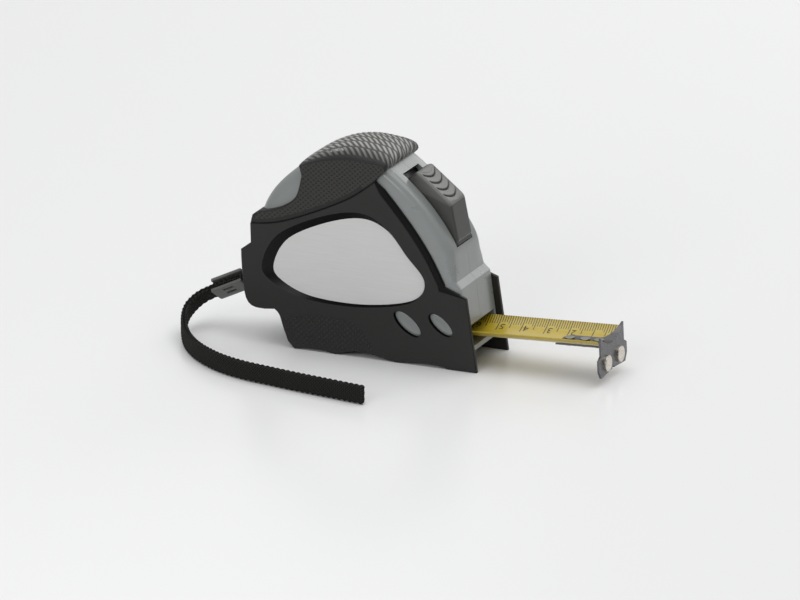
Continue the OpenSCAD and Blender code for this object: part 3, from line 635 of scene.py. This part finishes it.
# Rows of the plate's edge from its inner face outwards: how deep in and how far from the middle plane each lies
# along the sunk band in front, and the same elsewhere. The last row's depth is the chamfer of the outer face,
# which is smaller along the front foot.
plate_in, funnel_foot, label_seat, heel_seat = 14.72, 15.62, 15.3, 15.8
edge_rows = np.array([
    (0.12, plate_in, 0.12, plate_in), (0, 14.84, 0, 14.84), (0, 15.5, 0, 16.2), (0.4, 15.75, 0.1, 16.35),
    (2.3, 16.05, 0.3, 16.5), (2.4, cover_half, 0.45, cover_half),
])
cover_cols = np.arange(len(cover_outline))
in_front = (cover_cols >= 2) & (cover_cols < 3 + len(cover_front))
edge_depth = np.where(in_front, edge_rows[:, :1], edge_rows[:, 2:3])
edge_depth[-1, :2] = 0.3
edge_y = -np.where(in_front, edge_rows[:, 1:2], edge_rows[:, 3:])
plate = (stack(cover_outline, edge_depth, edge_y), quads(len(edge_rows), len(cover_outline), around=True))
oval_rings = [ellipse(*oval)[::-1] for oval in ovals]
outer_face = cap([inset(cover_outline, edge_depth[-1]), recess_outline, heel_outline, *oval_rings], -cover_half)
inner_face = cap([inset(cover_outline, edge_depth[0]), *oval_rings], -plate_in)
funnel_ring, seat_ring = (inset(label_outline[::-1], -more)[::-1] for more in (0.12, 0.1))
funnel = joined(
    lofted([recess_outline, funnel_ring], [-cover_half, -funnel_foot], first=False, last=False),
    lofted([funnel_ring, seat_ring], [-funnel_foot, -label_seat], first=False),
)
heel_pocket = lofted([heel_outline] * 2, [-cover_half, -heel_seat], first=False)
oval_walls = [lofted([ring] * 2, [-cover_half, -plate_in], first=False, last=False) for ring in oval_rings]

# Behind the plate the cover wraps the case's heel and back: a wall between the two outlines, with the strap's
# slot left open in the middle, and a solid foot as far forward as the hook's channel.
foot_to, slot_top, slot_foot, slot_half, seam = 12, 25.2, 16.8, 4.55, 0.02
case_back = np.array([
    (-38.98, 49), (-38.98, 30), (-38.98, 21), (-37.2, 17.8), (-31.5, 17.2), (-29.3, 14.5), (-27.4, 9.5), (-25.4, 6),
    (-22.6, 3.3), (foot_to, 4.94),
])
foot_back = np.vstack([foot_edge[foot_edge[:, 0] <= foot_to], [(foot_to, 1.66)]])
wrap = np.vstack([[(-41, 49)], cover_rear, foot_back, case_back[::-1]])
high_wrap = np.vstack([
    [(-41, 49)], cover_rear[:5], [(-44.2, slot_top), (-38.98, slot_top), (-38.98, 30), (-38.98, 49)],
])
low_wrap = np.vstack([[(-42.2, slot_foot)], cover_rear[7:], foot_back, case_back[:2:-1], [(-37.2, slot_foot)]])
skirt = [lofted([wrap] * 2, [-plate_in, -slot_half])]
skirt += [lofted([part] * 2, [-slot_half, -seam]) for part in (high_wrap, low_wrap)]
abs_black, tree, shader = finish("cover_textured_abs", Base_Color=linear("#1c1c1b"), Roughness=0.55, IOR=1.45)
# The mould was spark-eroded: a fine pitting about 0.3 mm across, drawn at 0.45 mm, scatters the highlights,
# and handling has polished it unevenly.
place = add(tree, "TexCoord")
pit = add(tree, "TexNoise", {"Vector": place.outputs["Object"], "Scale": 2200, "Detail": 2})
patch = add(tree, "TexNoise", {"Vector": place.outputs["Object"], "Scale": 70, "Detail": 4, "Roughness": 0.6})
gloss = add(tree, "MapRange", {0: patch, 1: 0.3, 2: 0.7, 3: 0.5, 4: 0.62})
tone = add(tree, "MixRGB", {0: patch, 1: linear("#181817"), 2: linear("#21211f")})
bump = add(tree, "Bump", {"Height": pit, "Distance": 0.00006, "Strength": 0.7})
drive(tree, shader, Roughness=gloss, Base_Color=tone, Normal=bump)
# The label's funnel and the sunk band along the front edge are polished instead, and their colour is painted blacker
# than the cover's as painted shade in these recesses.
polished_band_painted_shade, tree, shader = finish(
    "cover_polished_band_painted_shade", Base_Color=linear("#060606"), Roughness=0.26, IOR=1.45, Specular_IOR_Level=0.16,
)
place = add(tree, "TexCoord")
haze = add(tree, "TexNoise", {"Vector": place.outputs["Object"], "Scale": 150, "Detail": 3})
gloss = add(tree, "MapRange", {0: haze, 3: 0.2, 4: 0.3})
drive(tree, shader, Roughness=gloss)
for hand, node_name in ((1, "side_cover_left"), (-1, "side_cover_right")):
    points, faces = joined(plate, outer_face, inner_face, funnel, heel_pocket, *oval_walls)
    put(node_name + "_plate", points * [1, hand, 1], faces, "case", [node_name], abs_black,
        sharp=11, round_edges=0.14, inlay=(polished_band_painted_shade, funnel_foot, 16.32))
    points, faces = joined(*skirt)
    put(node_name + "_wrap", points * [1, hand, 1], faces, "case", [], abs_black, sharp=30,
        round_edges=0.12)

# ---- Labels ----
# A blank foil label lies in each recess: aluminium foil with a satin face, rolled along its length, stuck down
# on the recess's floor with its edge turned down a little.
label_face, label_rows = label_outline[::-1], [(0.0, -label_seat - 0.01), (0.0, -15.66), (0.14, -15.8)]
label_part = lofted([inset(label_face, d) for d, y in label_rows], [y for d, y in label_rows])
foil, tree, shader = finish("label_satin_foil", Base_Color=linear("#d2d2d1"), Metallic=0.1, Roughness=0.38)
# Rolling leaves streaks along the foil, about 0.2 mm apart, drawn 0.5 mm apart.
place = add(tree, "TexCoord")
stretch = add(tree, "Mapping", {"Vector": place.outputs["Object"], "Scale": (90, 2000, 2000)})
streak = add(tree, "TexNoise", {"Vector": stretch, "Scale": 1, "Detail": 3})
gloss = add(tree, "MapRange", {0: streak, 1: 0.3, 2: 0.7, 3: 0.3, 4: 0.46})
tone = add(tree, "MixRGB", {0: streak, 1: linear("#cccccb"), 2: linear("#d8d8d7")})
drive(tree, shader, Roughness=gloss, Base_Color=tone)
for hand, node_name in ((1, "label_left"), (-1, "label_right")):
    put(node_name + "_foil", label_part[0] * [1, hand, 1], label_part[1], "case", [node_name], foil,
        sharp=50)

# ---- Rubber grip ----
# One piece of thermoplastic rubber is moulded over the top of the case and flush with the covers. Its top is
# crowned and has slanted ridges in rows, and its flat sides have fine dimples.
crest_steps = 24
grip_crest = run([(11.5, 84.1), (2.2, 84.9), (-5.9, 83.6), (-14, 80.1), (-20.4, 75.8)], crest_steps)
grip_notch = run([(-19.3, 70), (-21.6, 62.1), (-27.3, 57.5), (-33.7, 55.2), (-37.6, 54.3), (-40.2, 52.4)], 8)
grip_nose = [(16, 77), (17.4, 79.8), (17.2, 81), (16.2, 82.2), (14, 83.3)]
grip_outline = np.vstack([grip_nose, grip_crest, grip_notch, grip_line[::-1]])
# The crown falls from the crest, over the whole half width, to this line along the shoulder. Everywhere else the
# edge is rolled over by a small radius.
shoulder_nose = [(15.7, 76.4), (16.1, 77.1), (15.9, 77.8), (15.4, 78.4), (14, 78.8)]
crown_foot = np.vstack([
    shoulder_nose, run([(11.5, 79), (2.6, 79.5), (-5.6, 78.6), (-13.4, 76.8), (-19.9, 74.8)], crest_steps),
])
n, top_count = len(grip_outline), len(crown_foot)
side_from = n - len(grip_line)
grip_cols = np.arange(n)
roll = np.interp(
    grip_cols, [0, top_count, top_count + 8, side_from - 9, side_from - 1, n], [0.5, 0.8, 0.8, 0.8, 2, 0.4],
)
roll[side_from + 1 : n - 5] = 2.2
shoulder = inset(grip_outline, roll)
shoulder[:top_count] = crown_foot
reach = np.where(grip_cols < top_count, cover_half - 0.5, np.minimum(roll, 0.8))
lap = np.radians(np.linspace(0, 90, 44))[:, None]
half_y = -(cover_half - reach) - reach * np.sin(lap)
across_y = np.linspace(0, 1, 9)[1:-1, None]
middle = (cover_half - reach) * (2 * across_y - 1)
grip_y = np.vstack([half_y[::-1], middle, -half_y])
fall = np.concatenate([1 - np.cos(lap[::-1, 0]), np.zeros(len(across_y)), 1 - np.cos(lap[:, 0])])[:, None, None]
grip_xz = grip_outline + fall * (shoulder - grip_outline)
# The ridges, 2.5 mm apart and 0.35 mm high, slant across in bands 5.2 mm wide, and each band starts half a ridge
# further on than the last. They die out at both ends of the crest and towards the shoulder.
ridge_pitch, ridge_deep, band_wide, band_step, lean = 2.5, 0.35, 5.2, 1.25, 0.9
band = grip_y / band_wide
slant = lean * grip_y + grip_xz[..., 0] + band_step * np.floor(band)
ridge_high = np.clip((np.sin(2 * np.pi * slant / ridge_pitch) + 0.55) / 0.9, 0, 1)
ridge_high *= np.clip((np.minimum(band % 1, 1 - band % 1) - 0.03) / 0.11, 0, 1)
on_crest = np.clip(np.minimum(grip_cols - 4, top_count - 2 - grip_cols) / 4, 0, 1)
groove = ridge_deep * (1 - ridge_high) * (1 - fall[..., 0]) * on_crest
grip_xz = grip_xz - groove[..., None] * (grip_outline - inset(grip_outline, np.full(n, 1.0)))
grip_part = joined(
    (np.insert(grip_xz, 1, grip_y, axis=2).reshape(-1, 3), quads(len(grip_y), n, around=True)),
    cap([shoulder], -cover_half), cap([shoulder], cover_half),
)
rubber, tree, shader = finish("grip_moulded_rubber", Base_Color=linear("#34322f"), Roughness=0.62, IOR=1.5)
# Top: the tops of the same ridges are painted pale as a painted sheen from the light above, the hollows between them
# are painted dark as painted shade, and both are painted darker towards the shoulder as painted shade. Sides: dimples
# on a staggered grid,
# 1.1 by 0.95 mm.
place = add(tree, "TexCoord")
split = add(tree, "SeparateXYZ", {0: place.outputs["Object"]})
band = add(tree, "Math", {0: split.outputs[1], 1: 1000 / band_wide}, operation="MULTIPLY")
band_at = add(tree, "Math", {0: band}, operation="FLOOR")
step_on = add(tree, "Math", {0: band_at, 1: band_step / 1000}, operation="MULTIPLY")
slant = add(tree, "Math", {0: split.outputs[1], 1: lean, 2: split}, operation="MULTIPLY_ADD")
slant = add(tree, "Math", {0: slant, 1: step_on}, operation="ADD")
ridge = add(tree, "Math", {0: slant, 1: 2000 * math.pi / ridge_pitch}, operation="MULTIPLY")
ridge = add(tree, "Math", {0: ridge}, operation="SINE")
band_in = add(tree, "Math", {0: band, 1: 0.5}, operation="PINGPONG")
band_end = add(tree, "MapRange", {0: band_in, 1: 0.03, 2: 0.14, 3: 0, 4: 1})
ridge = add(tree, "MapRange", {0: ridge, 1: -0.55, 2: 0.35, 3: 0, 4: 1})
ridge = add(tree, "Math", {0: ridge, 1: band_end}, operation="MULTIPLY")
dimple_long, dimple_high = 0.0011, 0.00095
level_row = add(tree, "Math", {0: split.outputs[2], 1: math.pi / dimple_high}, operation="MULTIPLY")
level_row = add(tree, "Math", {0: level_row}, operation="SINE")
level_col = add(tree, "Math", {0: split, 1: math.pi / dimple_long}, operation="MULTIPLY")
level_col = add(tree, "Math", {0: level_col}, operation="SINE")
dimple = add(tree, "Math", {0: level_row, 1: level_col}, operation="MULTIPLY")
dimple = add(tree, "MapRange", {0: dimple, 1: 0.2, 2: 0.75, 3: 1, 4: 0})
# The ridges' tones cover the crown down to the shoulder, and the dimples only the flat faces outside it.
far_out = add(tree, "Math", {0: split.outputs[1]}, operation="ABSOLUTE")
on_crown = add(tree, "MapRange", {0: far_out, 1: 0.0156, 2: 0.016, 3: 1, 4: 0})
above = add(tree, "MapRange", {0: split.outputs[2], 1: 0.0738, 2: 0.0746, 3: 0, 4: 1})
on_top = add(tree, "Math", {0: on_crown, 1: above}, operation="MULTIPLY")
on_flat = add(tree, "MapRange", {0: far_out, 1: 0.01657, 2: 0.01659, 3: 0, 4: 1})
dimple = add(tree, "Math", {0: dimple, 1: on_flat}, operation="MULTIPLY")
relief = add(tree, "MixRGB", {0: on_top, 1: dimple, 2: ridge})
# Painted shade: the crown's tones darken from 8 mm to 14.5 mm out from the middle plane, towards the shoulder.
shoulder_shade = add(tree, "MapRange", {0: far_out, 1: 0.008, 2: 0.0145, 3: 0, 4: 1})
ridge_sheen_tone = add(tree, "MixRGB", {0: shoulder_shade, 1: linear("#a3a29f"), 2: linear("#5a5956")})
hollow_shade_tone = add(tree, "MixRGB", {0: shoulder_shade, 1: linear("#504f4d"), 2: linear("#1b1a19")})
# The crown is painted much lighter than the flat sides, a painted sheen on the faces that look up at the lamp.
crown_light_and_shade_tone = add(tree, "MixRGB", {0: relief, 1: hollow_shade_tone, 2: ridge_sheen_tone})
side_tone = add(tree, "MixRGB", {0: relief, 1: linear("#161514"), 2: linear("#2d2c29")})
tone = add(tree, "MixRGB", {0: on_top, 1: side_tone, 2: crown_light_and_shade_tone})
bump = add(tree, "Bump", {"Height": relief, "Distance": 0.0004, "Strength": 0.8})
drive(tree, shader, Base_Color=tone, Normal=bump)
grip = put("top_grip_rubber", grip_part[0], grip_part[1], "case", ["top_grip"], rubber, sharp=45)
# A block the shape of the closed case is cut out of the grip, so that it lies on the case with no gap.
bow_back = bow[::-1]
block_depth = radius * np.vstack([1 - np.cos(bow_back), 1 - np.cos(bow)])
block_y = np.vstack([-(case_half - radius) - radius * np.sin(bow_back), case_half - radius + radius * np.sin(bow)])
block_points, block_faces = joined(
    (stack(case_outline, list(block_depth), block_y), quads(2 * len(bow), cols, around=True)),
    cap([inset(case_outline, radius)], -case_half), cap([inset(case_outline, radius)], case_half),
)
block_mesh = bpy.data.meshes.new("case_block")
block_mesh.from_pydata((block_points / 1000).tolist(), [], block_faces)
weld(block_mesh)
block = bpy.data.objects.new("case_block", block_mesh)
bpy.context.scene.collection.objects.link(block)
hollow = grip.modifiers.new("fits_over_case", "BOOLEAN")
hollow.operation, hollow.object, hollow.solver = "DIFFERENCE", block, "EXACT"
carved = bpy.data.meshes.new_from_object(grip.evaluated_get(bpy.context.evaluated_depsgraph_get()))
grip.modifiers.clear()
grip.data = carved
bpy.data.objects.remove(block)
carved.set_sharp_from_angle(angle=math.radians(40))

# The heel pads are inlays of the same rubber with small round studs on a staggered grid.
studded, tree, shader = finish("heel_studded_rubber", Base_Color=linear("#1d1c1a"), Roughness=0.6, IOR=1.5)
place = add(tree, "TexCoord")
split = add(tree, "SeparateXYZ", {0: place.outputs["Object"]})
stud_pitch = 0.0011
stud_row = add(tree, "Math", {0: split.outputs[2], 1: math.pi / stud_pitch}, operation="MULTIPLY")
stud_row = add(tree, "Math", {0: stud_row}, operation="SINE")
stud_col = add(tree, "Math", {0: split, 1: math.pi / stud_pitch}, operation="MULTIPLY")
stud_col = add(tree, "Math", {0: stud_col}, operation="SINE")
stud = add(tree, "Math", {0: stud_row, 1: stud_col}, operation="MULTIPLY")
stud = add(tree, "MapRange", {0: stud, 1: 0.1, 2: 0.6, 3: 0, 4: 1})
tone = add(tree, "MixRGB", {0: stud, 1: linear("#121110"), 2: linear("#201f1d")})
bump = add(tree, "Bump", {"Height": stud, "Distance": 0.0003, "Strength": 0.8})
drive(tree, shader, Base_Color=tone, Normal=bump)
pad, pad_rows = inset(heel_outline[::-1], 0.4), [(0, -heel_seat - 0.01), (0, -16.45), (0.2, -16.58)]
pad_part = lofted([inset(pad, d) for d, y in pad_rows], [y for d, y in pad_rows])
for hand, node_name in ((1, "lower_grip_left"), (-1, "lower_grip_right")):
    put(node_name + "_studs", pad_part[0] * [1, hand, 1], pad_part[1], "case", [node_name], studded,
        sharp=50)

# ---- Lock ----
# The lock button is black ABS with a finer matt face, clipped to the slider that rides behind the slot. Four
# crescents across its upper facet give the thumb a hold.
slot_run, slot_drop = 23, 27
slot_mid, slot_turn, slot_long = (31.5, 60.5), math.atan2(slot_drop, slot_run), math.hypot(slot_run, slot_drop)


def along_slot(p):
    """Points in the slot's own frame, x down the slot and z out of the case, turned to the slot's slope."""
    x, y, z = np.moveaxis(np.asarray(p, float), -1, 0)
    c, s = math.cos(slot_turn), math.sin(slot_turn)
    return np.stack([slot_mid[0] + c * x + s * z, y, slot_mid[1] - s * x + c * z], -1)


def rounded_corners(points, radii, steps=5):
    """A closed outline whose corners are replaced by quadratic curves that start and end a radius away."""
    p = np.asarray(points, float)
    before, after = np.roll(p, 1, 0) - p, np.roll(p, -1, 0) - p
    r = np.reshape(radii, (-1, 1))
    a = p + before / np.linalg.norm(before, axis=1)[:, None] * r
    b = p + after / np.linalg.norm(after, axis=1)[:, None] * r
    t = np.linspace(0, 1, steps)[None, :, None]
    return ((1 - t) ** 2 * a[:, None] + 2 * t * (1 - t) * p[:, None] + t**2 * b[:, None]).reshape(-1, 2)


# The button's side view: from below the case's face at the low end, up the steep front, back along the upper
# facet and down again. Its corners are rounded, and the outline is cut into 0.2 mm steps.
top_end, low_end = -slot_long / 2 + 2.7, slot_long / 2 - 0.4
facet_start = (top_end + 0.5, 5.6)
corners = [
    (low_end, -2.9), (low_end, 0.4), (low_end - 1, 0.6), (low_end - 1.3, 1.6), (2.6, 9), facet_start,
    (top_end - 0.2, 4), (top_end, -2.9),
]
button_ring = rounded_corners(corners, [0.2, 0.15, 0.2, 0.4, 1.4, 0.7, 0.6, 0.2])
gap = np.linalg.norm(np.roll(button_ring, -1, 0) - button_ring, axis=1)
ring_at = np.concatenate([[0], np.cumsum(gap)])
closed_ring = np.vstack([button_ring, button_ring[:1]])
dense = np.arange(0, ring_at[-1], 0.2)
button_ring = np.stack([np.interp(dense, ring_at, closed_ring[:, k]) for k in (0, 1)], -1)
half_wide, soft = 7.0, 1.0
lap = np.radians(np.arange(0, 91, 15))[:, None]
side_y, side_d = (half_wide - soft) + soft * np.sin(lap), soft * (1 - np.cos(lap))
flat_y = np.linspace(-(half_wide - soft), half_wide - soft, 61)[1:-1, None]
button_y = np.vstack([-side_y[::-1], flat_y, side_y])
button_d = np.vstack([side_d[::-1], 0 * flat_y, side_d])
shell = np.stack([inset(button_ring, d) for d in button_d[:, 0]])
# The crescents: steps 3.7 mm apart down the facet, lowest in their middle, each with a fine cut at its foot.
facet = np.array([17.6, 3.4]) / math.hypot(17.6, 3.4)
facet_out = np.array([-facet[1], facet[0]])
down, lift = (shell - facet_start) @ facet, (shell - facet_start) @ facet_out
crescent_pitch, crescent_first, crescent_bow = 3.7, 4.2, 0.075
phase = (down - crescent_first + crescent_bow * button_y**2) / crescent_pitch
step = phase - np.floor(phase)
from_cut = np.minimum(step, 1 - step) * crescent_pitch
window = np.clip((5.9 - np.abs(button_y)) / 0.6, 0, 1) * ((phase > -0.5) & (phase < 3.5) & (np.abs(lift) < 0.6))
cut = np.exp(-((from_cut / 0.3) ** 2)) * 0.5 + 0.26 * (1 - step)
shell = shell - (window * cut)[..., None] * facet_out
button_points = along_slot(np.stack(np.broadcast_arrays(shell[..., 0], button_y, shell[..., 1]), -1))
# Painted shade in the crescents, darkest along each cut.
crescent_shade = (window * np.exp(-((from_cut / 0.4) ** 2))).reshape(-1)
# Painted light: the upper facet is lighter, fading off its edges.
facet_light = (np.clip((1.5 - np.abs(lift)) / 1.1, 0, 1) * (down > -0.4) * (down < 18.2)).reshape(-1)
button_black, tree, shader = finish("button_matt_abs", Base_Color=linear("#4a4a48"), Roughness=0.4, IOR=1.53)
# Fine pitting as on the covers but shinier from the thumb. The upper facet is painted lighter as a painted highlight
# from the light above, and the crescents are painted
# dark as painted shade: U is how deep a point lies in one, and V how near it lies to the upper facet.
place = add(tree, "TexCoord")
pit = add(tree, "TexNoise", {"Vector": place.outputs["Object"], "Scale": 2400, "Detail": 2})
deep = add(tree, "UVMap", uv_map="surface")
split = add(tree, "SeparateXYZ", {0: deep})
# The upper facet is painted lighter as a painted highlight.
facet_lit_tone = add(tree, "MixRGB", {0: split.outputs[1], 1: linear("#353533"), 2: linear("#6c6c6a")})
tone = add(tree, "MixRGB", {0: split, 1: facet_lit_tone, 2: linear("#080807")})
gloss = add(tree, "MapRange", {0: pit, 3: 0.33, 4: 0.48})
bump = add(tree, "Bump", {"Height": pit, "Distance": 0.00004})
drive(tree, shader, Base_Color=tone, Roughness=gloss, Normal=bump)
put(
    "lock_button_ribbed", button_points.reshape(-1, 3), tube(len(button_y), len(button_ring)), "lock",
    ["lock_button"], button_black, sharp=60, uv=np.stack([crescent_shade, facet_light], -1),
)
softened("lock_slider", "lock", button_black, 0.1)
softened("brake_pad", "lock", rubber, 0.1)

# ---- Mouth bumper ----
# A strip of light grey rubber lies in the lower lip of the mouth and takes the knock of the returning hook. It is
# moulded with a plain satin face and pressed into the case.
light_rubber, tree, shader = finish("bumper_grey_rubber", Base_Color=linear("#a9aaa8"), Roughness=0.55, IOR=1.5)
place = add(tree, "TexCoord")
grain = add(tree, "TexNoise", {"Vector": place.outputs["Object"], "Scale": 1500, "Detail": 2})
tone = add(tree, "MixRGB", {0: grain, 1: linear("#9d9e9c"), 2: linear("#b4b5b3")})
bump = add(tree, "Bump", {"Height": grain, "Distance": 0.00005})
drive(tree, shader, Base_Color=tone, Normal=bump)
softened("mouth_bumper", "case", light_rubber, 0.25)

# ---- Table and light ----
# A wide pale table with a satin face, 12 m each way so that no edge shows, under broad soft lamps above, in front
# and behind.
table_lines = np.linspace(-6, 6, 5)
table_points = np.insert(np.stack(np.meshgrid(table_lines, table_lines), -1).reshape(-1, 2), 2, -0.00005, axis=1)
table_mesh = bpy.data.meshes.new("table_top")
table_mesh.from_pydata(table_points.tolist(), [], quads(5, 5).tolist())
paint, tree, shader = finish("table_satin_white", Base_Color=linear("#f1f1f1"), Roughness=0.25, IOR=1.45)
place = add(tree, "TexCoord")
cloud = add(tree, "TexNoise", {"Vector": place.outputs["Object"], "Scale": 3, "Detail": 2})
gloss = add(tree, "MapRange", {0: cloud, 3: 0.25, 4: 0.26})
drive(tree, shader, Roughness=gloss)
table_mesh.materials.append(paint)
table = bpy.data.objects.new("table_top", table_mesh)
bpy.context.scene.collection.objects.link(table)
world = bpy.data.worlds.new("studio")
bpy.context.scene.world = world
world.use_nodes = True
world.node_tree.nodes["Background"].inputs["Color"].default_value = linear("#f4f5f6")
world.node_tree.nodes["Background"].inputs["Strength"].default_value = 0.4


def lamp(name, place_at, aim, size, watts):
    """A square soft lamp at a place, turned to face a point."""
    light = bpy.data.lights.new(name, "AREA")
    light.shape, light.size, light.energy = "SQUARE", size, watts
    holder = bpy.data.objects.new(name, light)
    holder.location = place_at
    holder.rotation_euler = (Vector(place_at) - Vector(aim)).to_track_quat("Z", "Y").to_euler()
    bpy.context.scene.collection.objects.link(holder)


lamp("overhead_box", (0.25, 0.15, 2.2), (0.05, 0, 0), 2.8, 40)
lamp("front_box", (-0.2, -1.9, 0.9), (0, 0, 0.04), 0.9, 9)
lamp("rear_box", (-0.7, 0.9, 0.9), (0, 0, 0.06), 0.8, 1.5)
lamp("back_box", (0.24, 1.0, 0.52), (0.02, 0, 0.05), 0.55, 1.6)
bpy.context.scene.view_settings.view_transform = "Standard"
